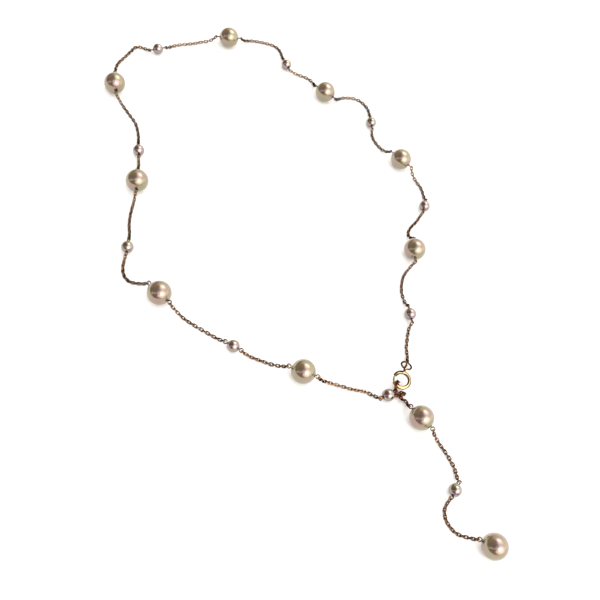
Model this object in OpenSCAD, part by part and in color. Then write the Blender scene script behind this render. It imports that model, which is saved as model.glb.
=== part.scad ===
// Lariat necklace, laid out flat: pearls on a fine cable chain, clasped in front with a bolt ring.
// Millimetres. The floor is z = 0, +Y points from the end of the drop to the nape.

/* [Pearls] */
// Diameter of a large pearl
large_d = 7.5; // [6.5:0.1:8.5]
// Diameter of a small pearl
small_d = 3.9; // [3.2:0.1:4.6]
// Drill hole through a pearl
bore_d = 0.8; // [0.7:0.05:1.0]

/* [Pins] */
// Wire of the pins' eyes
pin_wire = 0.4; // [0.35:0.01:0.42]
// Outer diameter of an eye
eye_od = 1.6; // [1.55:0.01:1.65]

/* [Chain] */
// Outer length of a link
link_l = 1.85; // [1.8:0.01:1.9]
// Outer width of a link
link_w = 1.2; // [1.15:0.01:1.25]
// Wire of a link
link_wire = 0.28; // [0.25:0.01:0.32]
// Longest step from one link to the next
link_step = 1.05; // [1.0:0.01:1.1]

/* [Clasp] */
// Outer diameter of the bolt ring
ring_od = 6.0; // [5.8:0.1:6.2]
// Diameter of the ring's tube
tube_d = 1.1; // [1.05:0.01:1.15]
// Channel inside the tube
channel_d = 0.75; // [0.7:0.01:0.8]
// Wire of the sliding bolt
bolt_d = 0.55; // [0.5:0.01:0.6]
// Mouth of the ring, in degrees
mouth = 50; // [45:1:55]
// How far the bolt slides, in degrees
travel = 50; // [44:1:52]
// Outer diameter of the tail loop
tail_od = 2.5; // [2.4:0.05:2.6]
// Outer diameter of the jump ring
jump_od = 3.8; // [3.6:0.05:4.0]
// Wire of the jump ring
jump_wire = 0.55; // [0.5:0.01:0.58]

/* [Hidden] */
$fn = 48;
GOLD = "#C99A5B";
ROSE_GOLD = "#B98A62";
CREAM = "#E3D6C6";
SILVERY = "#DAD2CC";

// Where the pearls lie, in order from the clasp, a small one first
// [x, y, heading of the pin towards the next pearl in degrees]
X = 0;
Y = 1;
HEADING = 2;
STATIONS = [
    [21.3, -32.2, 70],
    [35.9, -11.5, 60],
    [51.5, 4.5, 45],
    [53.8, 25.5, 110],
    [53.9, 46.6, 65],
    [42.9, 64.7, 115],
    [36.4, 84.1, 85],
    [19.7, 102.1, 160],
    [-8.7, 104.6, 180],
    [-31.4, 89.7, 255],
    [-34.7, 58.9, 250],
    [-40.8, 45.2, 245],
    [-53.0, 22.4, 240],
    [-50.9, 2.3, 290],
    [-37.3, -21.6, 305],
    [-22.3, -37.8, 315],
    [-1.1, -54.0, 0],
    [3.6, -64.8, 285],
    [1.5, -87.1, 210],
    [1.9, -105.2, 310],
];
PAIRS = len(STATIONS) / 2;

// The length that the clasp is clipped round: over the ring's rim, down through it, under it
// and back over itself in a fold, [x, y, z] from the clasp's centre and turned with it
WRAP = [
    [-1.4, -3.5, 3.7], [-1.7, -2.5, 3.5], [-1.2, -1.6, 3.3], [-0.9, -1.0, 2.7],
    [-0.7, -0.9, 1.8], [-0.7, -1.3, 1.0], [-0.7, -2.2, 0.6], [-0.7, -3.1, 0.6],
    [-1.1, -3.8, 0.6], [-0.8, -4.8, 0.6], [0.0, -5.0, 0.6], [0.6, -4.4, 0.6],
    [0.6, -3.5, 0.6], [1.2, -2.9, 0.6], [2.0, -3.0, 0.8], [2.3, -3.7, 1.4],
    [1.8, -4.0, 2.2], [1.1, -4.4, 2.3], [0.9, -5.1, 2.0], [1.3, -5.6, 1.3],
    [2.1, -5.2, 0.7], [2.9, -5.0, 0.6], [3.6, -5.5, 0.6], [4.0, -6.6, 1.1]
];

// Points on the floor of each length of chain between its two ends, in order from the clasp
// [x, y]
ROUTES = [
    [[12.5, -44.9], [14, -41.9], [16, -39.4], [18, -36.9]],
    [[23, -26.4], [24, -23.4], [26, -20.4], [28.5, -17.9]],
    [[39.5, -3.4], [42, -1.4], [45.5, 0.1]],
    [[55, 9.6], [56, 12.6], [56, 15.6]],
    [[51.5, 34.6], [51, 38.1], [51.5, 41.1]],
    [[57, 52.6], [57.5, 56.1], [56, 60.1], [52.5, 62.1], [49.5, 62.6]],
    [[43, 73.1], [42, 76.1], [39.5, 78.6]],
    [[38, 90.6], [38.5, 94.1], [37, 97.1], [33.5, 99.6], [29.5, 101.6]],
    [[10.5, 105.6], [6.5, 105.6], [2, 106.1], [-2, 106.1]],
    [[-13, 107.6], [-15.5, 109.1], [-18.5, 107.1], [-22, 104.6], [-25.5, 102.1], [-27.5, 99.1]],
    [[-31.5, 80.6], [-31, 76.6], [-30.5, 72.6], [-31, 69.1], [-32, 65.6]],
    [[-37, 53.1]],
    [[-46, 36.6], [-47.5, 34.1], [-49, 31.1], [-50, 28.1]],
    [[-56.5, 17.1], [-57.5, 14.1], [-57, 11.1]],
    [[-46.5, -7.4], [-45, -9.9], [-43, -12.9], [-41, -15.9]],
    [[-33.5, -26.4], [-31.5, -28.4], [-29.5, -30.4]],
    [[-15.5, -42.9], [-12.5, -45.4], [-9.5, -47.9], [-6.5, -49.9]],
    WRAP,
    [[5.9, -74.4], [6.1, -77.9], [5.8, -81.7]],
    [[-3.7, -90.0], [-5.1, -92.4], [-5.3, -95], [-4.5, -97.6]],
];
WRAPPED = 17;
FIRST_OF_DROP = 18;

// Heights and small clearances
chain_z = link_w / 2;
eye_gap = 0.1;
tube_gap = 0.3;

// The clasp stands on the chain that passes under it
RING_AT = [5.3, -51.5, 2.45];
RING_TURN = -46;
RING_RISE = 10;
ring_r = (ring_od - tube_d) / 2;
MOUTH_FROM = 165;
mouth_to = MOUTH_FROM + mouth;
bolt_hold = 5;
bolt_tail = 45;
TRIGGER = 152;
knob_d = 0.65;
stem_d = 0.3;
slot_w = stem_d + 0.2;
tail_wire = 0.55;
solder = 0.12;
tail_r = ring_od / 2 + tail_od / 2 - solder;
JUMP_TURN = 34;
JUMP_DROOP = 20;
jump_r = (jump_od - jump_wire) / 2;

// Vectors
function unit(v) = v / norm(v);
function heading(a) = [cos(a), sin(a), 0];
function spin_z(a, v) = [v.x * cos(a) - v.y * sin(a), v.x * sin(a) + v.y * cos(a), v.z];
function rise_x(a, v) = [v.x, v.y * cos(a) - v.z * sin(a), v.y * sin(a) + v.z * cos(a)];
function on_ring(v) = RING_AT + spin_z(RING_TURN, rise_x(RING_RISE, v));

// Pearls and pins by their place in the row
function is_large(i) = i % 2 == 1;
function pearl_d(i) = is_large(i) ? large_d : small_d;
function centre(i) = [STATIONS[i][X], STATIONS[i][Y], pearl_d(i) / 2];
eye_r = (eye_od - pin_wire) / 2;
function eye_at(i) = pearl_d(i) / 2 + eye_od / 2;
function eye_centre(i, side) = centre(i) + side * eye_at(i) * heading(STATIONS[i][HEADING]);
function eye_normal(i) = spin_z(STATIONS[i][HEADING], unit([0, -1, 1]));

// Where a link's end lies that hangs in an eye and points at p: its bend lies round the eye's wire
bend_r = (link_w - link_wire) / 2;
function hung(c, r, n, p) = let (
    t = unit(p - c)
) c + r * unit(t - (t * n) * n) - bend_r * t;

// The jump ring leans from the tail loop to the floor, and the chain starts from its far side
tail_hole = on_ring([0, tail_r, 0]) - [0, 0, (tail_od / 2 - tail_wire) - jump_wire / 2 - eye_gap];
jump_out = spin_z(JUMP_TURN, [cos(JUMP_DROOP), 0, -sin(JUMP_DROOP)]);
jump_centre = tail_hole + jump_r * jump_out;
jump_normal = spin_z(JUMP_TURN, [sin(JUMP_DROOP), 0, cos(JUMP_DROOP)]);

// Each length of chain hangs from one eye, lies along its route and rises to the next eye
function floor_point(p) = [p.x, p.y, chain_z];
function by_clasp(p) = [RING_AT.x, RING_AT.y, 0] + spin_z(RING_TURN, p);
function sag(a, b) = let (m = a + (b - a) * 0.4) [m.x, m.y, chain_z + (a.z - chain_z) * 0.35];
function leaves(k) = k == 0 ? jump_centre + jump_r * jump_out : eye_centre(k - 1, 1);
function arrives(k) = eye_centre(k, -1);
function across(k) = let (
    p = [for (q = ROUTES[k]) floor_point(q)]
) concat([sag(leaves(k), p[0])], p, [sag(arrives(k), p[len(p) - 1])]);
function between(k) = k == WRAPPED ? [for (q = WRAP) by_clasp(q)] : across(k);
function normal_from(k) = k == 0 ? jump_normal : eye_normal(k - 1);
function route(k) = let (
    p = between(k),
    a = k == 0
        ? hung(jump_centre, jump_r, jump_normal, p[0])
        : hung(eye_centre(k - 1, 1), eye_r, eye_normal(k - 1), p[0]),
    b = hung(eye_centre(k, -1), eye_r, eye_normal(k), p[len(p) - 1])
) concat([a], p, [b]);

// A smooth curve through points, as samples with their distance along it
STEPS = 8;
function spline(a, b, c, d, t) = 0.5 * (2 * b + (c - a) * t + (2 * a - 5 * b + 4 * c - d) * t * t
    + (3 * b - a - 3 * c + d) * t * t * t);
function smooth(p) = [
    for (i = [0 : len(p) - 2], j = [0 : i == len(p) - 2 ? STEPS : STEPS - 1])
        let (q = spline(p[max(i - 1, 0)], p[i], p[i + 1], p[min(i + 2, len(p) - 1)], j / STEPS))
        [q.x, q.y, max(q.z, chain_z)]
];
function distances(c) = [
    for (i = 0, s = 0; i < len(c); i = i + 1, s = i < len(c) ? s + norm(c[i] - c[i - 1]) : s) s
];
function along(c, s, at) = [for (a = [0 : 2]) lookup(at, [for (i = [0 : len(c) - 1]) [s[i], c[i][a]]])];
// Directions along a row of points, and directions square to them that turn no more than they must
function tangents(p) = [for (i = [0 : len(p) - 1]) unit(p[min(i + 1, len(p) - 1)] - p[max(i - 1, 0)])];
function side_of(t, last) = unit(last - (last * t) * t);
function sides(t, first) = [
    for (i = 0, u = side_of(t[0], first); i < len(t); i = i + 1,
        u = i < len(t) ? side_of(t[i], u) : u) u
];

// A round tube swept along points, with capped ends
SIDES = 8;
module sweep(p, d) {
    n = len(p);
    t = tangents(p);
    side = sides(t, cross([0, 0, 1], t[0]));
    points = [
        for (i = [0 : n - 1], j = [0 : SIDES - 1])
            let (a = (j + 0.5) * 360 / SIDES)
            p[i] + d / 2 * (side[i] * cos(a) + cross(t[i], side[i]) * sin(a))
    ];
    walls = [
        for (i = [0 : n - 2], j = [0 : SIDES - 1])
            let (k = (j + 1) % SIDES)
            [(i + 1) * SIDES + j, (i + 1) * SIDES + k, i * SIDES + k, i * SIDES + j]
    ];
    first = [for (j = [0 : SIDES - 1]) j];
    last = [for (j = [0 : SIDES - 1]) n * SIDES - 1 - j];
    polyhedron(points, concat([first, last], walls), 4);
}

// One length of chain drawn as a tube of the links' width
TUBE_STEP = 3.6;
WRAP_STEP = 0.75;
module tube_length(k) {
    c = smooth(route(k));
    s = distances(c);
    start = bend_r + pin_wire / 2 + tube_gap;
    total = s[len(s) - 1] - 2 * start;
    n = ceil(total / (k == WRAPPED ? WRAP_STEP : TUBE_STEP));
    sweep([for (i = [0 : n]) along(c, s, start + total * i / n)], link_w);
}

// One link: an oval of round wire, its length along X
module link() {
    straight = link_l - link_w;
    for (end = [-1, 1])
        translate([end * straight / 2, 0, 0]) rotate([0, 0, -90 * end])
            rotate_extrude(angle = 180, $fn = 24) translate([bend_r, 0]) circle(d = link_wire);
    for (side = [-1, 1])
        translate([-straight / 2, side * bend_r, 0]) rotate([0, 90, 0])
            cylinder(d = link_wire, h = straight);
}

// One length of chain drawn link by link. The first and the last link lie across their eyes, each
// link between lies a quarter turn from the last, and what twist is left is shared out
module link_length(k) {
    c = smooth(route(k));
    s = distances(c);
    reach = (link_l - link_wire) / 2;
    total = s[len(s) - 1] - 2 * reach;
    n = 2 * ceil(total / link_step / 2);
    ends = [
        for (i = [0 : n])
            let (a = reach + total * i / n)
            [along(c, s, a - reach), along(c, s, a + reach)]
    ];
    t = [for (e = ends) unit(e[1] - e[0])];
    side = sides(t, side_of(t[0], normal_from(k)));
    wanted = side_of(t[n], eye_normal(k));
    twist = atan2(cross(side[n], wanted) * t[n], side[n] * wanted);
    for (i = [0 : n]) {
        p = (ends[i][0] + ends[i][1]) / 2;
        x = t[i];
        turn = twist * i / n + 90 * (i % 2);
        y = side[i] * cos(turn) + cross(x, side[i]) * sin(turn);
        z = cross(x, y);
        multmatrix([
            [x.x, y.x, z.x, p.x],
            [x.y, y.y, z.y, p.y],
            [x.z, y.z, z.z, p.z],
            [0, 0, 0, 1]
        ]) link();
    }
}

module chain_loop() {
    color(ROSE_GOLD)
        for (k = [0 : FIRST_OF_DROP - 1])
            tube_length(k);
}

module chain_drop() {
    color(ROSE_GOLD)
        for (k = [FIRST_OF_DROP : len(ROUTES) - 1])
            link_length(k);
}

// A pearl with its drill hole along the pin, blind in the last pearl
module pearl(i) {
    d = pearl_d(i);
    blind = i == len(STATIONS) - 1;
    color(is_large(i) ? CREAM : SILVERY)
        translate(centre(i)) rotate([0, 90, STATIONS[i][HEADING]])
            difference() {
                sphere(d = d);
                translate([0, 0, -d]) cylinder(d = bore_d, h = blind ? d * 1.3 : 2 * d);
            }
}

// The wire through a pearl, an eye at each end, or at one end of the last pearl's peg
module pin(i) {
    d = pearl_d(i);
    peg = i == len(STATIONS) - 1;
    stem = pin_wire - 0.04;
    inner = eye_at(i) - eye_r;
    color(ROSE_GOLD)
        translate(centre(i)) rotate([0, 0, STATIONS[i][HEADING]]) {
            translate([-inner, 0, 0]) rotate([0, 90, 0])
                cylinder(d = stem, h = inner + (peg ? d * 0.25 : inner));
            for (side = peg ? [-1] : [-1, 1])
                translate([side * eye_at(i), 0, 0]) rotate([45, 0, 0])
                    rotate_extrude() translate([eye_r, 0]) circle(d = pin_wire);
        }
}

module place_on_ring() {
    translate(RING_AT) rotate([0, 0, RING_TURN]) rotate([RING_RISE, 0, 0]) children();
}

// The hollow ring with its mouth, the trigger's slot and the soldered tail loop
module bolt_ring() {
    slot_from = TRIGGER - travel - 6;
    slot_to = TRIGGER + 6;
    color(GOLD)
        place_on_ring()
            difference() {
                union() {
                    rotate([0, 0, mouth_to]) rotate_extrude(angle = 360 - mouth)
                        translate([ring_r, 0]) circle(d = tube_d);
                    translate([0, tail_r, 0]) rotate([0, 90, 0]) rotate_extrude()
                        translate([(tail_od - tail_wire) / 2, 0]) circle(d = tail_wire);
                }
                rotate([0, 0, mouth_to - 2]) rotate_extrude(angle = 364 - mouth)
                    translate([ring_r, 0]) circle(d = channel_d);
                rotate([0, 0, slot_from]) rotate_extrude(angle = slot_to - slot_from)
                    translate([ring_r - slot_w / 2, 0]) square([slot_w, tube_d]);
            }
}

// The sliding bolt and its trigger
module bolt() {
    bolt_from = MOUTH_FROM - bolt_tail;
    color(GOLD)
        place_on_ring() {
            rotate([0, 0, bolt_from]) rotate_extrude(angle = bolt_tail + mouth + bolt_hold)
                translate([ring_r, 0]) circle(d = bolt_d);
            rotate([0, 0, TRIGGER]) translate([ring_r, 0, 0]) {
                cylinder(d = stem_d, h = tube_d / 2 + knob_d / 2);
                translate([0, 0, tube_d / 2 + knob_d / 2 + 0.05]) sphere(d = knob_d);
            }
        }
}

module jump_ring() {
    color(ROSE_GOLD)
        translate(jump_centre) rotate([0, 0, JUMP_TURN]) rotate([0, JUMP_DROOP, 0])
            rotate_extrude() translate([jump_r, 0]) circle(d = jump_wire);
}

bolt_ring();
bolt();
jump_ring();
chain_loop();
chain_drop();
for (i = [1 : PAIRS]) {
    pearl(2 * i - 1);
    pearl(2 * i - 2);
    pin(2 * i - 1);
    pin(2 * i - 2);
}
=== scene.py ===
# %% [markdown]
# # A pearl lariat necklace
# The necklace lies flat on a pale surface. Twenty drilled pearls sit on eyed pins, fine cable chain
# joins the eyes, and a small bolt ring closes the loop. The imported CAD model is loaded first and
# stays as it is: every piece made here stands where its node stands and rides on the same body.

# %% Load the frame
import math

import bpy
import numpy as np
from mathutils import Matrix, Vector


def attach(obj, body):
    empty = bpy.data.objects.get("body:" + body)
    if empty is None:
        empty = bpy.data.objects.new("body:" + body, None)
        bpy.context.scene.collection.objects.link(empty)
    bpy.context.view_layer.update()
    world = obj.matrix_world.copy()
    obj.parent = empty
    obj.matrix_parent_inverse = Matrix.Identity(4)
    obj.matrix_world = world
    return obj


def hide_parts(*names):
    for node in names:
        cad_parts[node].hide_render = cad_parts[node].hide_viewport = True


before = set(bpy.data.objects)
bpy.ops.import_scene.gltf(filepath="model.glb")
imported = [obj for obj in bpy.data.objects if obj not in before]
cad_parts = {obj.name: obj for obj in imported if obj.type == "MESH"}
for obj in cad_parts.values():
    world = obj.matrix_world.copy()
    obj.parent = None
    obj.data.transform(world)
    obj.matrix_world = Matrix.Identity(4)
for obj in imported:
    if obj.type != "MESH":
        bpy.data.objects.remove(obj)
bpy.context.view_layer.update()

MM = 0.001

# %% [markdown]
# ## Sizes
# The sizes are those of the CAD source, in millimetres times MM, so that a link, an eye or a pearl
# made here fits what the source holds. The chain's pitch is the step from one link to the next: in a
# slack chain it is a little shorter than a link's inner length. A link's wire is drawn thicker than
# in the source, on its inner side only, so that the chain reads from as far away as in the photo.

# %% Sizes
LARGE_PEARL = 7.5 * MM
SMALL_PEARL = 3.9 * MM
BORE = 0.8 * MM
PIN_WIRE = 0.4 * MM
EYE_OUTER = 1.6 * MM
LINK_LENGTH = 1.85 * MM
LINK_WIDTH = 1.2 * MM
LINK_WIRE = 0.28 * MM
DRAWN_WIRE = 0.35 * MM
RING_OUTER = 6.0 * MM
TUBE = 1.1 * MM
CHANNEL = 0.75 * MM
BOLT = 0.55 * MM
TAIL_OUTER = 2.5 * MM
TAIL_WIRE = 0.55 * MM
JUMP_OUTER = 3.8 * MM
JUMP_WIRE = 0.55 * MM
EYE_RADIUS = (EYE_OUTER - PIN_WIRE) / 2
LINK_BEND = (LINK_WIDTH - LINK_WIRE) / 2
LINK_REACH = (LINK_LENGTH - LINK_WIRE) / 2
RING_RADIUS = (RING_OUTER - TUBE) / 2
JUMP_RADIUS = (JUMP_OUTER - JUMP_WIRE) / 2
CHAIN_HEIGHT = LINK_WIDTH / 2
print("pearls", round(LARGE_PEARL / MM, 1), "and", round(SMALL_PEARL / MM, 1), "mm, link",
      round(LINK_LENGTH / MM, 2), "by", round(LINK_WIDTH / MM, 2), "mm")

# %% [markdown]
# ## Where everything lies
# The same short tables as in the CAD source: where each pearl lies and which way its pin points,
# the floor points of each length of chain, and the length that the clasp is clipped round.

# %% Tables of the lay
STATIONS = [  # x, y, heading of the pin towards the next pearl
    (21.3, -32.2, 70), (35.9, -11.5, 60), (51.5, 4.5, 45), (53.8, 25.5, 110), (53.9, 46.6, 65),
    (42.9, 64.7, 115), (36.4, 84.1, 85), (19.7, 102.1, 160), (-8.7, 104.6, 180), (-31.4, 89.7, 255),
    (-34.7, 58.9, 250), (-40.8, 45.2, 245), (-53.0, 22.4, 240), (-50.9, 2.3, 290),
    (-37.3, -21.6, 305), (-22.3, -37.8, 315), (-1.1, -54.0, 0), (3.6, -64.8, 285),
    (1.5, -87.1, 210), (1.9, -105.2, 310),
]
WRAP = [  # x, y, z from the clasp's place on the floor, turned with it
    (-1.4, -3.5, 3.7), (-1.7, -2.5, 3.5), (-1.2, -1.6, 3.3), (-0.9, -1.0, 2.7), (-0.7, -0.9, 1.8),
    (-0.7, -1.3, 1.0), (-0.7, -2.2, 0.6), (-0.7, -3.1, 0.6), (-1.1, -3.8, 0.6), (-0.8, -4.8, 0.6),
    (0.0, -5.0, 0.6), (0.6, -4.4, 0.6), (0.6, -3.5, 0.6), (1.2, -2.9, 0.6), (2.0, -3.0, 0.8),
    (2.3, -3.7, 1.4), (1.8, -4.0, 2.2), (1.1, -4.4, 2.3), (0.9, -5.1, 2.0), (1.3, -5.6, 1.3),
    (2.1, -5.2, 0.7), (2.9, -5.0, 0.6), (3.6, -5.5, 0.6), (4.0, -6.6, 1.1),
]
ROUTES = [  # x, y of the floor points of each length of chain, in order from the clasp
    [(12.5, -44.9), (14, -41.9), (16, -39.4), (18, -36.9)],
    [(23, -26.4), (24, -23.4), (26, -20.4), (28.5, -17.9)],
    [(39.5, -3.4), (42, -1.4), (45.5, 0.1)],
    [(55, 9.6), (56, 12.6), (56, 15.6)],
    [(51.5, 34.6), (51, 38.1), (51.5, 41.1)],
    [(57, 52.6), (57.5, 56.1), (56, 60.1), (52.5, 62.1), (49.5, 62.6)],
    [(43, 73.1), (42, 76.1), (39.5, 78.6)],
    [(38, 90.6), (38.5, 94.1), (37, 97.1), (33.5, 99.6), (29.5, 101.6)],
    [(10.5, 105.6), (6.5, 105.6), (2, 106.1), (-2, 106.1)],
    [(-13, 107.6), (-15.5, 109.1), (-18.5, 107.1), (-22, 104.6), (-25.5, 102.1), (-27.5, 99.1)],
    [(-31.5, 80.6), (-31, 76.6), (-30.5, 72.6), (-31, 69.1), (-32, 65.6)],
    [(-37, 53.1)],
    [(-46, 36.6), (-47.5, 34.1), (-49, 31.1), (-50, 28.1)],
    [(-56.5, 17.1), (-57.5, 14.1), (-57, 11.1)],
    [(-46.5, -7.4), (-45, -9.9), (-43, -12.9), (-41, -15.9)],
    [(-33.5, -26.4), (-31.5, -28.4), (-29.5, -30.4)],
    [(-15.5, -42.9), (-12.5, -45.4), (-9.5, -47.9), (-6.5, -49.9)],
    WRAP,
    [(5.9, -74.4), (6.1, -77.9), (5.8, -81.7)],
    [(-3.7, -90.0), (-5.1, -92.4), (-5.3, -95), (-4.5, -97.6)],
]
WRAPPED = 17
FIRST_OF_DROP = 18
RING_AT = np.array((5.3, -51.5, 2.45)) * MM
RING_TURN, RING_RISE = -46, 10
JUMP_TURN, JUMP_DROOP = 34, 20
print(len(STATIONS), "pearls,", len(ROUTES), "lengths of chain")

# %% [markdown]
# ## The camera
# The photo looks down on the necklace at 55 degrees and is turned by 21 degrees. A camera has no
# roll of its own, so it is aimed with a track quaternion and then turned about its own axis.

# %% Camera
PHOTO_PIXELS = 600
FOCAL_PIXELS = 760
SENSOR_MM = 36
CAMERA_AT = Vector((-0.108614, -0.109240, 0.198722))
AIM_AT = Vector((-0.009554, -0.013579, 0))
ROLL = 21.218

camera_data = bpy.data.cameras.new("Camera")
camera_data.sensor_width = SENSOR_MM
camera_data.lens = FOCAL_PIXELS / PHOTO_PIXELS * SENSOR_MM
camera_data.clip_start = 1 * MM
camera = bpy.data.objects.new("Camera", camera_data)
aim = (AIM_AT - CAMERA_AT).to_track_quat("-Z", "Y").to_matrix().to_4x4()
camera.matrix_world = Matrix.Translation(CAMERA_AT) @ aim @ Matrix.Rotation(math.radians(ROLL), 4, "Z")
bpy.context.collection.objects.link(camera)
bpy.context.scene.camera = camera
print("lens", round(camera_data.lens, 2), "mm")

# %% [markdown]
# ## Helpers for materials
# Colours are written as the hex values a painter would pick and turned to linear light by one
# function. One more function adds any node, with its settings, its colour stops where it is a ramp,
# and its inputs. An input takes a number, a socket or a node, which means that node's first output.

# %% Colours and new materials
WHITE, BLACK = "#FFFFFF", "#000000"


def linear(hex_value):
    parts = [int(hex_value[i:i + 2], 16) / 255 for i in (1, 3, 5)]
    return [c / 12.92 if c <= 0.04045 else ((c + 0.055) / 1.055) ** 2.4 for c in parts] + [1.0]


def new_material(name, **shader_values):
    material = bpy.data.materials.new(name)
    material.use_nodes = True
    shader = material.node_tree.nodes["Principled BSDF"]
    for socket, value in shader_values.items():
        shader.inputs[socket.replace("_", " ")].default_value = value
    return material, material.node_tree, shader


print("a mid grey of 808080 is", round(linear("#808080")[0], 3), "in linear light")


# %% Nodes
def add(tree, kind, inputs=(), stops=(), **settings):
    node = tree.nodes.new(kind)
    for name, value in settings.items():
        setattr(node, name, value)
    for name, value in dict(inputs).items():
        if isinstance(value, bpy.types.Node):
            value = value.outputs[0]
        if isinstance(value, bpy.types.NodeSocket):
            tree.links.new(value, node.inputs[name])
        else:
            node.inputs[name].default_value = value
    elements = node.color_ramp.elements if stops else ()
    while len(elements) < len(stops):
        elements.new(0.5)
    for element, (position, colour) in zip(elements, stops):
        element.position = position
        element.color = linear(colour)
    return node


# %% [markdown]
# ## Gold plate
# The chain is rose gold plated brass wire, barrel polished, and the clasp is yellow gold. A metal is
# all reflection: its colour is the tint of what it mirrors, with painted shade on a wire's flanks and
# painted shade, darker and redder, round the clasp. A flat gold colour would look like plastic this
# small, so Layer Weight paints the flanks dark, and noise gives the slightly uneven gloss and the
# faint waviness of drawn and tumbled wire. Metal keeps the shader's default IOR.

# %% Metals
WAVES, WAVE_DEPTH = 0.2 * MM, 0.02 * MM
SMEARS = 0.9 * MM
GLOSS_SWING = (0.7, 1.4)
# painted shade round the clasp fades out between these two distances
SHADED_WITHIN, SHADED_UP_TO = 7 * MM, 12 * MM


def polished_gold(name, tint, flank_shade, flank_shade_from, roughness, clasp_shade=WHITE):
    # painted shade: the dark flank colour is also the metal's edge tint, so grazing reflections come out
    # dark
    material, tree, shader = new_material(name, Metallic=1.0, Specular_Tint=linear(flank_shade))
    # painted shade: Layer Weight blends from the tint to the dark flank colour where a wire turns away
    # from the camera
    weight = add(tree, "ShaderNodeLayerWeight", {"Blend": 0.5})
    painted_flank_shade = add(tree, "ShaderNodeValToRGB", {"Fac": weight.outputs["Facing"]},
                stops=[(0.05, tint), (flank_shade_from, flank_shade)])
    place = add(tree, "ShaderNodeTexCoord").outputs["Object"]
    # painted shade: near the clasp, fading out from 7 to 12 mm away, the colour is multiplied by a
    # darker, redder tint
    apart = add(tree, "ShaderNodeVectorMath", {0: place, 1: tuple(RING_AT)}, operation="DISTANCE")
    clasp_shade_fade = add(tree, "ShaderNodeMapRange", {
        "Value": apart.outputs["Value"], "From Min": SHADED_WITHIN, "From Max": SHADED_UP_TO})
    painted_clasp_shade = add(tree, "ShaderNodeValToRGB", {"Fac": clasp_shade_fade}, stops=[(0.0, clasp_shade), (1.0, WHITE)])
    colour = add(tree, "ShaderNodeMix", {"Factor": 1.0, 6: painted_flank_shade, 7: painted_clasp_shade},
                 data_type="RGBA", blend_type="MULTIPLY")
    smears = add(tree, "ShaderNodeTexNoise", {"Vector": place, "Scale": 1 / SMEARS, "Detail": 3.0})
    gloss = add(tree, "ShaderNodeMapRange", {
        "Value": smears, "From Min": 0.3, "From Max": 0.7,
        "To Min": roughness * GLOSS_SWING[0], "To Max": roughness * GLOSS_SWING[1],
    })
    waves = add(tree, "ShaderNodeTexNoise", {"Vector": place, "Scale": 1 / WAVES, "Detail": 2.0})
    bump = add(tree, "ShaderNodeBump", {"Height": waves, "Strength": 0.12, "Distance": WAVE_DEPTH})
    tree.links.new(colour.outputs[2], shader.inputs["Base Color"])
    tree.links.new(gloss.outputs["Result"], shader.inputs["Roughness"])
    tree.links.new(bump.outputs["Normal"], shader.inputs["Normal"])
    return material


# second colour: painted shade on the flanks; last colour: painted shade, darker and redder, round the
# clasp
rose_gold = polished_gold("rose_gold_plated_wire", "#927050", "#1C0C08", 0.38, 0.14, "#E6B09A")
yellow_gold = polished_gold("yellow_gold_plated_clasp", "#CAB888", "#34180C", 0.28, 0.1)
print("metals", rose_gold.name, yellow_gold.name)

# %% [markdown]
# ## Nacre
# A pearl is many thin clear layers over a round bead. It mirrors its surroundings softly, keeps a
# milky body colour that is paler towards the rim, and shows a faint overtone in patches of mauve,
# cream and green. The shader's thin film would give the stronger colours of a soap bubble, so a blend
# of metallic and plain body gives the soft mirror, Layer Weight the paler rim and noise the patches.
# The large pearls are cream, the small ones a cooler silver pink. Nacre has an IOR of about 1.6.

# %% Pearl materials
OVERTONE_PATCHES = 3.5 * MM
RIPPLES, RIPPLE_DEPTH = 1.4 * MM, 0.05 * MM


def nacre(name, facing, middle, rim, mirror, roughness):
    material, tree, shader = new_material(
        name, Metallic=mirror, Roughness=roughness, IOR=1.6, Coat_Weight=0.25, Coat_Roughness=0.1)
    place = add(tree, "ShaderNodeTexCoord").outputs["Object"]
    weight = add(tree, "ShaderNodeLayerWeight", {"Blend": 0.45})
    body = add(tree, "ShaderNodeValToRGB", {"Fac": weight.outputs["Facing"]},
               stops=[(0.0, facing), (0.4, middle), (0.95, rim)])
    patches = add(tree, "ShaderNodeTexNoise", {
        "Vector": place, "Scale": 1 / OVERTONE_PATCHES, "Detail": 1.0})
    overtone = add(tree, "ShaderNodeValToRGB", {"Fac": patches},
                   stops=[(0.36, "#FAEAF6"), (0.5, "#FFFAF4"), (0.64, "#F2F9E4")])
    colour = add(tree, "ShaderNodeMix", {"Factor": 1.0, 6: body, 7: overtone},
                 data_type="RGBA", blend_type="MULTIPLY")
    ripples = add(tree, "ShaderNodeTexNoise", {"Vector": place, "Scale": 1 / RIPPLES, "Detail": 3.0})
    bump = add(tree, "ShaderNodeBump", {"Height": ripples, "Strength": 0.3, "Distance": RIPPLE_DEPTH})
    tree.links.new(colour.outputs[2], shader.inputs["Base Color"])
    tree.links.new(bump.outputs["Normal"], shader.inputs["Normal"])
    return material


cream_nacre = nacre("cream_pearl_nacre", "#918476", "#958C7B", "#A09585", 0.76, 0.15)
silver_nacre = nacre("silver_pink_pearl_nacre", "#928B86", "#948E8A", "#9A948E", 0.92, 0.11)
print("nacre", cream_nacre.name, silver_nacre.name)

# %% [markdown]
# ## Studio
# A pale sheet of paper lies under an even surround, as bright as the photo's cut-out white, so that
# shadows stay faint. Only the gloss sees a room: in the photo the pearls mirror a dim warm side with
# a streak of light in it on the left, a bright side on the right and two window panes. All of it is
# a little uneven, as a real room is. Real walls and windows could stand round the necklace, but they
# would shade it, so the room is painted on the surround, for glossy rays alone. Two weak lights stand
# where the panes are.

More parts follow.
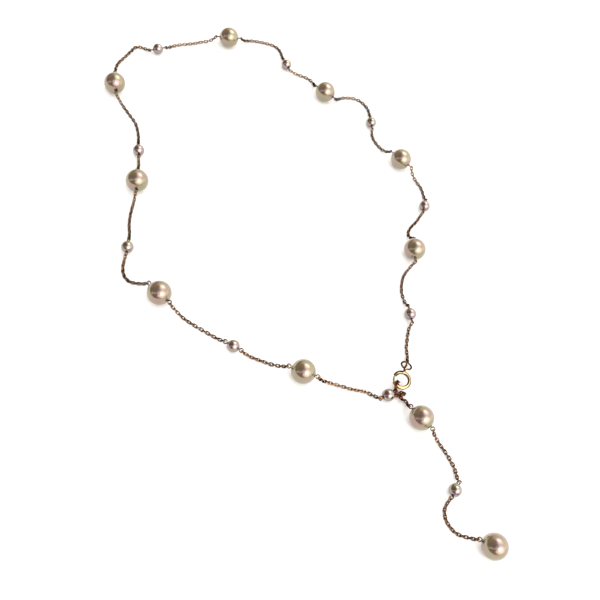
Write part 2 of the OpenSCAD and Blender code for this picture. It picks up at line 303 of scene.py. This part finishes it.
# %% Paper
def mesh_object(name, vertices, faces, material, smooth=True):
    mesh = bpy.data.meshes.new(name)
    mesh.from_pydata([tuple(v) for v in vertices], [], [tuple(f) for f in faces])
    mesh.materials.append(material)
    if smooth:
        mesh.shade_smooth()
    obj = bpy.data.objects.new(name, mesh)
    bpy.context.collection.objects.link(obj)
    return obj


paper = new_material("matt_white_paper", Base_Color=linear("#F7F5F2"), Roughness=0.9,
                     Specular_IOR_Level=0.1)[0]
SHEET = 1.5
floor = mesh_object("paper_sheet", [
    (-SHEET, -SHEET, 0), (SHEET, -SHEET, 0), (SHEET, SHEET, 0), (-SHEET, SHEET, 0)],
    [(0, 1, 2, 3)], paper, smooth=False)
print("paper", 2 * SHEET, "m wide")

# %% The room that the gloss sees
UNEVEN_SCALE, CLUTTER_SCALE = 1.4, 3.2
RIGHT_OF_PHOTO, UP_OF_PHOTO = (0.8616, -0.4639, 0.2061), (0.2998, 0.7926, 0.5310)
LOWER_WINDOW, UPPER_WINDOW = (0.0, -0.74, 0.673), (0.52, 0.26, 0.814)

world = bpy.data.worlds.new("Surround")
bpy.context.scene.world = world
world.use_nodes = True
sky = world.node_tree
sky.nodes.clear()
direction = add(sky, "ShaderNodeTexCoord").outputs["Generated"]


def seen_along(axis, uneven):
    along = add(sky, "ShaderNodeVectorMath", {0: direction, 1: axis}, operation="DOT_PRODUCT")
    blotches = add(sky, "ShaderNodeTexNoise", {
        "Vector": direction, "Scale": UNEVEN_SCALE, "Detail": 3.0})
    swing = add(sky, "ShaderNodeMapRange", {"Value": blotches, "To Min": -uneven, "To Max": uneven})
    both = add(sky, "ShaderNodeMath", {0: along.outputs["Value"], 1: swing}, operation="ADD")
    return add(sky, "ShaderNodeMapRange", {"Value": both, "From Min": -1, "From Max": 1})


upward = seen_along(UP_OF_PHOTO, 0.3)
rightward = seen_along(RIGHT_OF_PHOTO, 0.6)
dim_side = add(sky, "ShaderNodeValToRGB", {"Fac": upward}, stops=[
    (0.1, "#9A644A"), (0.3, "#724248"), (0.41, "#523C52"), (0.46, "#D4CECE"),
    (0.5, "#D4CECE"), (0.56, "#583A3C"), (0.72, "#60432C"), (1.0, "#826642")])
bright_side = add(sky, "ShaderNodeValToRGB", {"Fac": upward}, stops=[
    (0.2, "#E0C8B8"), (0.5, "#F8F6F4"), (0.72, "#E0DED6"), (1.0, "#C4BEB0")])
towards_right = add(sky, "ShaderNodeValToRGB", {"Fac": rightward},
                    stops=[(0.42, BLACK), (0.62, WHITE)])
things = add(sky, "ShaderNodeTexNoise", {"Vector": direction, "Scale": CLUTTER_SCALE, "Detail": 2.0})
clutter = add(sky, "ShaderNodeValToRGB", {"Fac": things}, stops=[(0.38, "#B0B0B0"), (0.6, WHITE)])
lower_pane = add(sky, "ShaderNodeValToRGB", {"Fac": seen_along(LOWER_WINDOW, 0.1)},
                 stops=[(0.88, BLACK), (0.97, "#E8F0FF")])
upper_pane = add(sky, "ShaderNodeValToRGB", {"Fac": seen_along(UPPER_WINDOW, 0.06)},
                 stops=[(0.93, BLACK), (0.985, "#F4F2FA")])
print("tones of the room", [round(stop.position, 2) for stop in dim_side.color_ramp.elements])

# %% Even light for matt things, the room for gloss
EVEN_STRENGTH, MIRRORED_STRENGTH = 1.6, 2.6
PANE_STRENGTH = 0.88

cluttered = add(sky, "ShaderNodeMix", {"Factor": 1.0, 6: dim_side, 7: clutter},
                data_type="RGBA", blend_type="MULTIPLY")
walls = add(sky, "ShaderNodeMix", {
    "Factor": towards_right, 6: cluttered.outputs[2], 7: bright_side}, data_type="RGBA")
panes = add(sky, "ShaderNodeMix", {"Factor": 1.0, 6: lower_pane, 7: upper_pane},
            data_type="RGBA", blend_type="ADD")
room = add(sky, "ShaderNodeMix", {
    "Factor": PANE_STRENGTH, 6: walls.outputs[2], 7: panes.outputs[2]},
    data_type="RGBA", blend_type="ADD")
ray = add(sky, "ShaderNodeLightPath")
even = add(sky, "ShaderNodeBackground", {"Color": linear("#F6F5F4"), "Strength": EVEN_STRENGTH})
mirrored = add(sky, "ShaderNodeBackground", {
    "Color": room.outputs[2], "Strength": MIRRORED_STRENGTH})
chosen = add(sky, "ShaderNodeMixShader", {0: ray.outputs["Is Glossy Ray"], 1: even, 2: mirrored})
add(sky, "ShaderNodeOutputWorld", {"Surface": chosen})
print("surround", len(sky.nodes), "nodes")

# %% Window lights
LIGHT_AWAY = 0.8
LIGHT_ON_MATT = 0.06


def soft_light(name, towards, width, height, watts, colour):
    data = bpy.data.lights.new(name, "AREA")
    data.shape = "RECTANGLE"
    data.size, data.size_y, data.energy = width, height, watts
    data.color = linear(colour)[:3]
    data.diffuse_factor = LIGHT_ON_MATT
    lamp = bpy.data.objects.new(name, data)
    at = Vector(towards).normalized() * LIGHT_AWAY
    lamp.matrix_world = Matrix.Translation(at) @ (-at).to_track_quat("-Z", "Y").to_matrix().to_4x4()
    bpy.context.collection.objects.link(lamp)


soft_light("lower_window", LOWER_WINDOW, 0.3, 0.26, 1.6, "#F6F8FF")
soft_light("upper_window", UPPER_WINDOW, 0.34, 0.14, 0.8, "#FAFAFF")
bpy.context.scene.view_settings.view_transform = "Standard"

# %% [markdown]
# ## Paths
# Each length of chain hangs from one eye, lies along its floor points and rises to the next eye. The
# first one hangs from the jump ring, which droops from the clasp's tail loop. A chain could be dropped
# on the floor by simulation, but it wouldn't come to rest in the photo's curves. So a smooth curve
# through the points, sampled finely, is what the links follow.

# %% Vectors and eyes
def unit(v):
    return v / np.linalg.norm(v)


def heading(degrees):
    return np.array((math.cos(math.radians(degrees)), math.sin(math.radians(degrees)), 0.0))


def spin_z(degrees, v):
    c, s = math.cos(math.radians(degrees)), math.sin(math.radians(degrees))
    return np.array((v[0] * c - v[1] * s, v[0] * s + v[1] * c, v[2]))


def pearl_size(i):
    return LARGE_PEARL if i % 2 else SMALL_PEARL


def pearl_centre(i):
    return np.array((STATIONS[i][0] * MM, STATIONS[i][1] * MM, pearl_size(i) / 2))


def eye_reach(i):
    return pearl_size(i) / 2 + EYE_OUTER / 2


def eye_centre(i, side):
    return pearl_centre(i) + side * eye_reach(i) * heading(STATIONS[i][2])


def eye_normal(i):
    return spin_z(STATIONS[i][2], unit(np.array((0.0, -1.0, 1.0))))


print("an eye stands", round(eye_reach(1) / MM, 2), "mm from a large pearl's middle and",
      round(eye_reach(0) / MM, 2), "mm from a small one's")


# %% Where the jump ring hangs
SOLDER = 0.12 * MM
JUMP_CLEAR = 0.1 * MM


def on_ring(v):
    c, s = math.cos(math.radians(RING_RISE)), math.sin(math.radians(RING_RISE))
    return RING_AT + spin_z(RING_TURN, (v[0], v[1] * c - v[2] * s, v[1] * s + v[2] * c))


TAIL_RADIUS = RING_OUTER / 2 + TAIL_OUTER / 2 - SOLDER
TAIL_CENTRE = on_ring((0, TAIL_RADIUS, 0))
TAIL_HOLE = TAIL_CENTRE - np.array((0, 0, TAIL_OUTER / 2 - TAIL_WIRE - JUMP_WIRE / 2 - JUMP_CLEAR))
DROOP = math.radians(JUMP_DROOP)
JUMP_OUT = spin_z(JUMP_TURN, (math.cos(DROOP), 0, -math.sin(DROOP)))
JUMP_NORMAL = spin_z(JUMP_TURN, (math.sin(DROOP), 0, math.cos(DROOP)))
JUMP_CENTRE = TAIL_HOLE + JUMP_RADIUS * JUMP_OUT
print("jump ring at", [round(float(v) / MM, 1) for v in JUMP_CENTRE], "mm")

# %% Routes
SAG_ALONG, SAG_HEIGHT = 0.4, 0.35


# where the end of a link lies when it hangs round an eye's wire and points at the target
def hung(centre, radius, normal, target):
    t = unit(target - centre)
    return centre + radius * unit(t - (t @ normal) * normal) - LINK_BEND * t


def sag(a, b):
    m = a + (b - a) * SAG_ALONG
    return np.array((m[0], m[1], CHAIN_HEIGHT + (a[2] - CHAIN_HEIGHT) * SAG_HEIGHT))


def ends_of(k):
    start = (JUMP_CENTRE, JUMP_RADIUS, JUMP_NORMAL) if k == 0 else (
        eye_centre(k - 1, 1), EYE_RADIUS, eye_normal(k - 1))
    return start, (eye_centre(k, -1), EYE_RADIUS, eye_normal(k))


def route(k):
    start, end = ends_of(k)
    if k == WRAPPED:
        points = [RING_AT * (1, 1, 0) + spin_z(RING_TURN, np.array(p) * MM) for p in WRAP]
    else:
        points = [np.array((x * MM, y * MM, CHAIN_HEIGHT)) for x, y in ROUTES[k]]
        leave = JUMP_CENTRE + JUMP_RADIUS * JUMP_OUT if k == 0 else start[0]
        points = [sag(leave, points[0])] + points + [sag(end[0], points[-1])]
    return [hung(*start, points[0])] + points + [hung(*end, points[-1])]


def smooth_curve(points, steps=12):
    curve = []
    last = len(points) - 1
    for i in range(last):
        a, b, c, d = points[max(i - 1, 0)], points[i], points[i + 1], points[min(i + 2, last)]
        for j in range(steps + (i == last - 1)):
            t = j / steps
            q = 0.5 * (2 * b + (c - a) * t + (2 * a - 5 * b + 4 * c - d) * t ** 2
                       + (3 * b - a - 3 * c + d) * t ** 3)
            curve.append((q[0], q[1], max(q[2], CHAIN_HEIGHT)))
    curve = np.array(curve)
    gone = np.concatenate(([0], np.cumsum(np.linalg.norm(np.diff(curve, axis=0), axis=1))))
    return curve, gone


total = sum(smooth_curve(route(k))[1][-1] for k in range(len(ROUTES)))
print("chain", round(total / MM), "mm")

# %% [markdown]
# ## The chain's links
# A cable chain is oval rings of wire, each a quarter turn from the last. Modelling nearly four hundred
# by hand would be slow, so one link is made in Geometry Nodes and set on a row of points that carry
# the direction of the chain and of the link's flat side. The first and last link of each length lie
# across their eyes. Between them the links lean by 45 degrees to either side, as a slack chain rests
# on a table, wander a little from that lean and turn within the play that their holes leave.

# %% Points that carry the links
LINK_SEED = 300
SETTLING_LINKS = 4
LINK_PLAY = math.tan(math.radians(6))
ROLL_WANDER = 14
WANDER_STEP = (0.25, 0.6)
QUARTER = math.pi / 2


def roll_between(a, b, axis):
    return math.atan2(np.cross(a, b) @ axis, a @ b)


def link_points(k, pitch):
    curve, gone = smooth_curve(route(k))
    start, end = ends_of(k)

    def at(s):
        return np.array([np.interp(s, gone, curve[:, a]) for a in range(3)])

    span = gone[-1] - 2 * LINK_REACH
    n = 2 * math.ceil(span / pitch / 2)
    heads = [at(span * i / n) for i in range(n + 1)]
    tails = [at(span * i / n + 2 * LINK_REACH) for i in range(n + 1)]
    aims = [unit(b - a) for a, b in zip(heads, tails)]
    sides = [unit(start[2] - (start[2] @ aims[0]) * aims[0])]
    for t in aims[1:]:
        sides.append(unit(sides[-1] - (sides[-1] @ t) * t))
    wanted = unit(end[2] - (end[2] @ aims[-1]) * aims[-1])
    twist = roll_between(sides[-1], wanted, aims[-1])
    rolls = twist * np.arange(n + 1) / n
    play = np.zeros((n + 1, 2))
    if k != WRAPPED:
        level = [unit(np.cross((0.0, 0.0, 1.0), t)) for t in aims]
        rolls = np.unwrap([
            r + roll_between(h, u, t) for r, h, u, t in zip(rolls, level, sides, aims)])
        resting = (math.floor(rolls[n // 2] / QUARTER) + 0.5) * QUARTER
        random = np.random.default_rng(LINK_SEED + k)
        wander = math.radians(ROLL_WANDER) * np.sin(
            np.arange(n + 1) * random.uniform(*WANDER_STEP) + random.uniform(0, 2 * math.pi))
        ease = np.minimum(1.0, np.minimum(np.arange(n + 1), n - np.arange(n + 1)) / SETTLING_LINKS)
        rolls = rolls + ease * (resting + wander - rolls)
        play[1:-1] = random.uniform(-LINK_PLAY, LINK_PLAY, (n - 1, 2))
        sides = level
    rows = []
    for i, (a, b, t, u) in enumerate(zip(heads, tails, aims, sides)):
        turn = rolls[i] + QUARTER * (i % 2)
        flat = u * math.cos(turn) + np.cross(t, u) * math.sin(turn)
        rows.append(((a + b) / 2, unit(t + play[i] @ (flat, np.cross(t, flat))), flat))
    return rows


# %% Rows of links
LOOP_PITCH = 1.12 * MM
DROP_PITCH = 1.05 * MM
loop_rows = [row for k in range(FIRST_OF_DROP) for row in link_points(k, LOOP_PITCH)]
drop_rows = [row for k in range(FIRST_OF_DROP, len(ROUTES)) for row in link_points(k, DROP_PITCH)]
print("links", len(loop_rows), "round the neck,", len(drop_rows), "in the drop")

# %% A link in Geometry Nodes
CORNER_STEPS = 6
WIRE_SIDES = 8


def link_tree():
    tree = bpy.data.node_groups.new("cable_links", "GeometryNodeTree")
    sockets = tree.interface
    sockets.new_socket("Points", in_out="INPUT", socket_type="NodeSocketGeometry")
    sizes = {"Link length": LINK_LENGTH, "Link width": LINK_WIDTH, "Wire": DRAWN_WIRE}
    for name, value in sizes.items():
        sockets.new_socket(name, in_out="INPUT", socket_type="NodeSocketFloat").default_value = value
    sockets.new_socket("Metal", in_out="INPUT", socket_type="NodeSocketMaterial")
    sockets.new_socket("Links", in_out="OUTPUT", socket_type="NodeSocketGeometry")
    given = add(tree, "NodeGroupInput").outputs

    length = add(tree, "ShaderNodeMath", {
        0: given["Link length"], 1: given["Wire"]}, operation="SUBTRACT")
    width = add(tree, "ShaderNodeMath", {
        0: given["Link width"], 1: given["Wire"]}, operation="SUBTRACT")
    bend_radius = add(tree, "ShaderNodeMath", {0: width, 1: 0.5}, operation="MULTIPLY")
    wire_radius = add(tree, "ShaderNodeMath", {0: given["Wire"], 1: 0.5}, operation="MULTIPLY")
    box = add(tree, "GeometryNodeCurvePrimitiveQuadrilateral", {"Width": length, "Height": width})
    oval = add(tree, "GeometryNodeFilletCurve", {
        "Curve": box, "Count": CORNER_STEPS, "Radius": bend_radius, "Limit Radius": True},
        mode="POLY")
    round_wire = add(tree, "GeometryNodeCurvePrimitiveCircle", {
        "Resolution": WIRE_SIDES, "Radius": wire_radius})
    link = add(tree, "GeometryNodeCurveToMesh", {"Curve": oval, "Profile Curve": round_wire})
    aim = add(tree, "GeometryNodeInputNamedAttribute", {"Name": "aim"}, data_type="FLOAT_VECTOR")
    flat = add(tree, "GeometryNodeInputNamedAttribute", {"Name": "flat"}, data_type="FLOAT_VECTOR")
    turned = add(tree, "FunctionNodeAxesToRotation", {
        "Primary Axis": aim, "Secondary Axis": flat}, primary_axis="X", secondary_axis="Y")
    placed = add(tree, "GeometryNodeInstanceOnPoints", {
        "Points": given["Points"], "Instance": link, "Rotation": turned})
    real = add(tree, "GeometryNodeRealizeInstances", {"Geometry": placed})
    shaded = add(tree, "GeometryNodeSetShadeSmooth", {"Geometry": real})
    metal = add(tree, "GeometryNodeSetMaterial", {"Geometry": shaded, "Material": given["Metal"]})
    add(tree, "NodeGroupOutput", {"Links": metal})
    return tree


LINKS = link_tree()
print("link tree", len(LINKS.nodes), "nodes")


# %% Both chains
def chain_object(name, rows, node):
    mesh = bpy.data.meshes.new(name)
    mesh.from_pydata([tuple(p) for p, _, _ in rows], [], [])
    for attribute, column in (("aim", 1), ("flat", 2)):
        values = np.array([row[column] for row in rows], dtype=np.float32).ravel()
        mesh.attributes.new(attribute, "FLOAT_VECTOR", "POINT").data.foreach_set("vector", values)
    obj = bpy.data.objects.new(name, mesh)
    bpy.context.collection.objects.link(obj)
    modifier = obj.modifiers.new("links", "NODES")
    modifier.node_group = LINKS
    metal = next(s for s in LINKS.interface.items_tree if s.name == "Metal")
    modifier[metal.identifier] = rose_gold
    graph = bpy.context.evaluated_depsgraph_get()
    made = bpy.data.meshes.new_from_object(obj.evaluated_get(graph))
    obj.modifiers.clear()
    obj.data = made
    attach(obj, "necklace")
    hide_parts(node)
    print(name, len(rows), "links,", len(made.polygons), "faces")


chain_object("loop_links", loop_rows, "chain_loop")
chain_object("drop_links", drop_rows, "chain_drop")

# %% [markdown]
# ## Wire bent into shape
# Eye pins, the jump ring and the bolt are all round wire along a path, so one sweep makes them. A
# curve object with a round bevel would do it too, but its ends are flat. Here each ring of points
# turns no more than it must, and the ends are closed with a small rounded cap.

# %% Sweep a wire
CAP_RINGS = ((1.0, 0.55), (0.4, 0.9))  # how far out and how wide, in shares of the cap and the wire


def tube_faces(rings, sides):
    faces = []
    for r in range(rings - 1):
        for j in range(sides):
            k = (j + 1) % sides
            faces.append((r * sides + j, r * sides + k, (r + 1) * sides + k, (r + 1) * sides + j))
    faces.append(tuple(reversed(range(sides))))
    faces.append(tuple((rings - 1) * sides + j for j in range(sides)))
    return faces


def swept(points, radius, sides=12, cap=0.35):
    points = np.array(points)
    last = len(points) - 1
    tangents = [unit(points[min(i + 1, last)] - points[max(i - 1, 0)]) for i in range(last + 1)]
    guess = np.array((0.0, 0.0, 1.0)) if abs(tangents[0][2]) < 0.9 else np.array((1.0, 0.0, 0.0))
    side = unit(np.cross(guess, tangents[0]))
    rings, frames = [], []
    for t in tangents:
        side = unit(side - (side @ t) * t)
        frames.append((side, np.cross(t, side)))
    steps = [(0, -cap * out, wide) for out, wide in CAP_RINGS]
    steps += [(i, 0, 1) for i in range(last + 1)]
    steps += [(last, cap * out, wide) for out, wide in reversed(CAP_RINGS)]
    for i, along, shrink in steps:
        u, v = frames[i]
        angles = np.arange(sides) * 2 * math.pi / sides
        centre = points[i] + tangents[i] * along * radius
        rings.append([centre + radius * shrink * (u * math.cos(a) + v * math.sin(a)) for a in angles])
    return [p for ring in rings for p in ring], tube_faces(len(rings), sides)


def joined(parts):
    vertices, faces = [], []
    for v, f in parts:
        faces += [tuple(i + len(vertices) for i in face) for face in f]
        vertices += list(v)
    return vertices, faces


print("a wire has", len(CAP_RINGS), "rings in each rounded end")

# %% [markdown]
# ## Eye pins
# A straight wire runs through each pearl, and pliers turn each end into an eye: the wire leaves the
# drill hole, steps off the axis and runs round almost a full circle, leaving a hairline gap. The last
# pearl ends the drop, so its pin is a short peg with one eye.

# %% Eye pins
STEM_SHORT_OF_EYE = 0.16 * MM
BEND_SHORT_OF_EYE, BEND_ASIDE = 0.05 * MM, 0.04 * MM
EYE_FROM, EYE_TO, EYE_POINTS = 163, -150, 22
PEG_INSIDE = 0.25
WIRE_UNDERSIZE = 0.98


def eye_path(reach, side):
    r = EYE_RADIUS
    flat = np.array((0.0, 1.0, 1.0)) / math.sqrt(2)
    stem = [np.array((x, 0, 0)) for x in np.linspace(0, reach - r - STEM_SHORT_OF_EYE, 3)]
    bend = [np.array((reach - r - BEND_SHORT_OF_EYE, 0, 0)) + flat * BEND_ASIDE]
    turns = np.radians(np.linspace(EYE_FROM, EYE_TO, EYE_POINTS))
    loop = [np.array((reach + r * math.cos(a), 0, 0)) + flat * r * math.sin(a) for a in turns]
    return [p * (side, side, side) for p in stem + bend + loop]


def pin(i):
    name = ("large_pin_%d" if i % 2 else "small_pin_%d") % (i // 2 + 1)
    peg = i == len(STATIONS) - 1
    paths = [eye_path(eye_reach(i), side) for side in ((-1,) if peg else (-1, 1))]
    if peg:
        paths[0] = [np.array((pearl_size(i) * PEG_INSIDE, 0, 0))] + paths[0][1:]
    parts = []
    for path in paths:
        placed = [pearl_centre(i) + spin_z(STATIONS[i][2], p) for p in path]
        parts.append(swept(placed, PIN_WIRE / 2 * WIRE_UNDERSIZE))
    obj = mesh_object(name + "_wire", *joined(parts), rose_gold)
    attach(obj, "necklace")
    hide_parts(name)


for i in range(len(STATIONS)):
    pin(i)
print("pins", len(STATIONS))

# %% [markdown]
# ## Pearls
# A pearl bead has a drill hole with a softly rounded lip. A sphere with a hole cut by a Boolean would
# have a sharp, ragged edge, so the bead is turned about its hole: a profile from inside the hole, over
# the lip and round the bead. Real pearls are never quite round, so each gets its own slight swell.

# %% A pearl's profile
LIP, LIP_DEPTH = 0.12 * MM, 0.8
HOLE_FROM = 0.5
LARGE_STEPS, SMALL_STEPS = (56, 40), (40, 28)  # round the hole and from end to end


def bead_profile(radius, along):
    bore = BORE / 2
    edge = math.asin((bore + LIP) / radius)
    profile = [(-HOLE_FROM * radius, bore)]
    rim_x = radius * math.cos(edge)
    for q in np.linspace(0, 1, 4)[:-1]:
        a = q * math.pi / 2
        profile.append((-(rim_x - LIP * (1 - math.sin(a)) * LIP_DEPTH), bore + LIP * (1 - math.cos(a))))
    for a in np.linspace(edge, math.pi - edge, along):
        profile.append((-radius * math.cos(a), radius * math.sin(a)))
    return profile + [(-x, r) for x, r in reversed(profile[:4])]


print("a large pearl's profile has", len(bead_profile(LARGE_PEARL / 2, LARGE_STEPS[1])), "points")

# %% Pearls
PEARL_SEED = 100
SWELL = 0.008


def pearl(i):
    name = ("large_pearl_%d" if i % 2 else "small_pearl_%d") % (i // 2 + 1)
    radius = pearl_size(i) / 2
    around, along = LARGE_STEPS if i % 2 else SMALL_STEPS
    profile = bead_profile(radius, along)
    random = np.random.default_rng(PEARL_SEED + i)
    swell = random.uniform(-1, 1, 3) * SWELL
    tilt = random.uniform(0, 2 * math.pi, 3)
    vertices, faces = [], []
    for x, r in profile:
        for j in range(around):
            a = 2 * math.pi * j / around
            grow = 1 + sum(s * math.cos((m + 1) * a + t) * (r / radius) ** 2
                           for m, (s, t) in enumerate(zip(swell, tilt)))
            p = np.array((x, r * math.cos(a) * grow, r * math.sin(a) * grow))
            vertices.append(pearl_centre(i) + spin_z(STATIONS[i][2], p))
    for s in range(len(profile) - 1):
        for j in range(around):
            k = (j + 1) % around
            faces.append((s * around + j, (s + 1) * around + j, (s + 1) * around + k, s * around + k))
    last = (len(profile) - 1) * around
    for j in range(around):
        k = (j + 1) % around
        faces.append((last + j, j, k, last + k))
    obj = mesh_object(name + "_bead", vertices, faces, cream_nacre if i % 2 else silver_nacre)
    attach(obj, "necklace")
    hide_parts(name)


for i in range(len(STATIONS)):
    pearl(i)
print("pearls", len(STATIONS))

# %% [markdown]
# ## The clasp
# A bolt ring is a tube bent round, with a mouth, a slot along its top for the trigger and a loop
# soldered to its back. Its wall is made here as an outer and an inner skin that share the same
# columns, so the slot is simply the two columns left out, and the mouth's edges are softly broken.
# Angles are degrees round the ring, with the tail loop at 90.

# %% The hollow ring
MOUTH_FROM, MOUTH = 165, 50
TRIGGER, TRAVEL = 152, 50
SLOT_WIDTH = 0.5 * MM
SLOT_END = 6
COLUMNS = 24
STEP_DEGREES = 3
BROKEN_EDGE = 0.05 * MM


def tube_section(radius, slot_width):
    edge = math.asin(slot_width / 2 / radius)
    around = np.linspace(edge, 2 * math.pi - edge, COLUMNS - 1)
    return [0.0] + list(around)


def at_angle(degrees, radius, section):
    a = math.radians(degrees)
    out = np.array((math.cos(a), math.sin(a), 0.0))
    return [on_ring(out * (RING_RADIUS + radius * math.sin(c)) + np.array((0, 0, radius * math.cos(c))))
            for c in section]


def hollow_ring():
    first, last = MOUTH_FROM + MOUTH, MOUTH_FROM + 360
    slot_from, slot_to = TRIGGER - TRAVEL - SLOT_END + 360, TRIGGER + SLOT_END + 360
    soft = math.degrees(BROKEN_EDGE / RING_RADIUS)
    stops = set(np.arange(first + STEP_DEGREES, last - 1, STEP_DEGREES)) | {slot_from, slot_to}
    stops = [first, first + soft] + sorted(stops) + [last - soft, last]
    outer, inner = tube_section(TUBE / 2, SLOT_WIDTH), tube_section(CHANNEL / 2, SLOT_WIDTH)
    vertices, faces = [], []
    for stop in stops:
        trim = BROKEN_EDGE if stop in (first, last) else 0
        vertices += at_angle(stop, TUBE / 2 - trim, outer) + at_angle(stop, CHANNEL / 2 + trim / 2, inner)
    row = 2 * COLUMNS

    def slotted(r):
        return slot_from <= stops[r] and stops[r + 1] <= slot_to

    for r in range(len(stops) - 1):
        here, there = r * row, (r + 1) * row
        here_in, there_in = here + COLUMNS, there + COLUMNS
        for c in range(COLUMNS):
            if slotted(r) and c in (0, COLUMNS - 1):
                continue
            d = (c + 1) % COLUMNS
            faces.append((here + c, here + d, there + d, there + c))
            faces.append((here_in + d, here_in + c, there_in + c, there_in + d))
        if slotted(r):
            left, right = 1, COLUMNS - 1
            faces.append((here + left, there + left, there_in + left, here_in + left))
            faces.append((there + right, here + right, here_in + right, there_in + right))
    whole, beside_slot = range(COLUMNS), (0, COLUMNS - 1)
    ends = ((first, whole, False), (last, whole, True),
            (slot_from, beside_slot, True), (slot_to, beside_slot, False))
    for stop, columns, flip in ends:
        start = stops.index(stop) * row
        for c in columns:
            d = (c + 1) % COLUMNS
            face = (start + c, start + COLUMNS + c, start + COLUMNS + d, start + d)
            faces.append(face[::-1] if flip else face)
    return vertices, faces


ring_skin = hollow_ring()
print("ring skin", len(ring_skin[1]), "faces")


# %% Turned parts and loops
LOOP_POINTS = 65
THICK_WIRE_SIDES = 14
SHARP_FROM = 38


def turned(profile, place, sides=16):
    vertices = []
    for height, radius in profile:
        for j in range(sides):
            a = 2 * math.pi * j / sides
            vertices.append(place(radius * math.cos(a), radius * math.sin(a), height))
    return vertices, tube_faces(len(profile), sides)


def loop_of_wire(centre, u, v, radius, wire, start, sweep_degrees, cap):
    turns = np.radians(np.linspace(start, start + sweep_degrees, LOOP_POINTS))
    path = [centre + radius * (u * math.cos(a) + v * math.sin(a)) for a in turns]
    return swept(path, wire / 2, sides=THICK_WIRE_SIDES, cap=cap)


def dressed(name, parts, body, node, metal):
    obj = mesh_object(name, *joined(parts), metal)
    obj.data.set_sharp_from_angle(angle=math.radians(SHARP_FROM))
    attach(obj, body)
    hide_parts(node)


print("edges of", SHARP_FROM, "degrees or more stay sharp")


# %% The ring with its tail loop
def in_ring(v):
    return on_ring(v) - RING_AT


COLLAR = [  # height over the tube and radius of the solder, in millimetres
    (-0.15, 0.40), (0.02, 0.38), (0.12, 0.31), (0.2, 0.27)]
tail_loop = loop_of_wire(TAIL_CENTRE, in_ring((0, 1, 0)), in_ring((0, 0, 1)),
                         (TAIL_OUTER - TAIL_WIRE) / 2, TAIL_WIRE, 180, 360, 0.1)
solder = turned([(height * MM, radius * MM) for height, radius in COLLAR],
                lambda x, y, h: on_ring((y, RING_OUTER / 2 + h, x)))
dressed("bolt_ring_tube", [ring_skin, tail_loop, solder],
        "necklace", "bolt_ring", yellow_gold)
print("bolt ring", round(RING_OUTER / MM, 1), "mm across")

# %% [markdown]
# ## Bolt and jump ring
# The bolt is a piece of round wire that slides in the tube and closes the mouth. Its trigger is a
# knob on a stem that stands out of the slot, to be drawn back with a fingernail. The jump ring is a
# round ring of wire with a closed gap, and joins the tail loop to the chain.

# %% The bolt and its trigger
BOLT_HOLD, BOLT_TAIL = 5, 45
BOLT_POINTS = 41
KNOB = 0.65 * MM
STEM = 0.3 * MM
KNOB_CLEAR = 0.05 * MM
KNOB_TOP = 0.97

bolt_turns = np.radians(np.linspace(MOUTH_FROM - BOLT_TAIL, MOUTH_FROM + MOUTH + BOLT_HOLD, BOLT_POINTS))
bolt_path = [on_ring((RING_RADIUS * math.cos(a), RING_RADIUS * math.sin(a), 0)) for a in bolt_turns]
knob_at = TUBE / 2 + KNOB / 2 + KNOB_CLEAR
knob_turns = np.linspace(math.asin(STEM / KNOB), math.pi * KNOB_TOP, 12)
stem_profile = [(0, STEM / 2)] + [
    (knob_at - KNOB / 2 * math.cos(a), KNOB / 2 * math.sin(a)) for a in knob_turns]
trigger = math.radians(TRIGGER)
knob = turned(stem_profile, lambda x, y, h: on_ring(
    (RING_RADIUS * math.cos(trigger) + x, RING_RADIUS * math.sin(trigger) + y, h)))
bolt_wire = swept(bolt_path, BOLT / 2, sides=THICK_WIRE_SIDES, cap=0.8)
dressed("sliding_bolt", [bolt_wire, knob], "bolt", "bolt", yellow_gold)
print("bolt slides", TRAVEL, "degrees")

# %% The jump ring
GAP_AT, ROUND_TO_GAP = 92, 357

jump_across = spin_z(JUMP_TURN, (0.0, 1.0, 0.0))
jump_wire = loop_of_wire(JUMP_CENTRE, JUMP_OUT, jump_across, JUMP_RADIUS, JUMP_WIRE,
                         GAP_AT, ROUND_TO_GAP, 0.05)
dressed("jump_ring_wire", [jump_wire], "necklace", "jump_ring", rose_gold)
print("jump ring", round(JUMP_OUTER / MM, 1), "mm across")
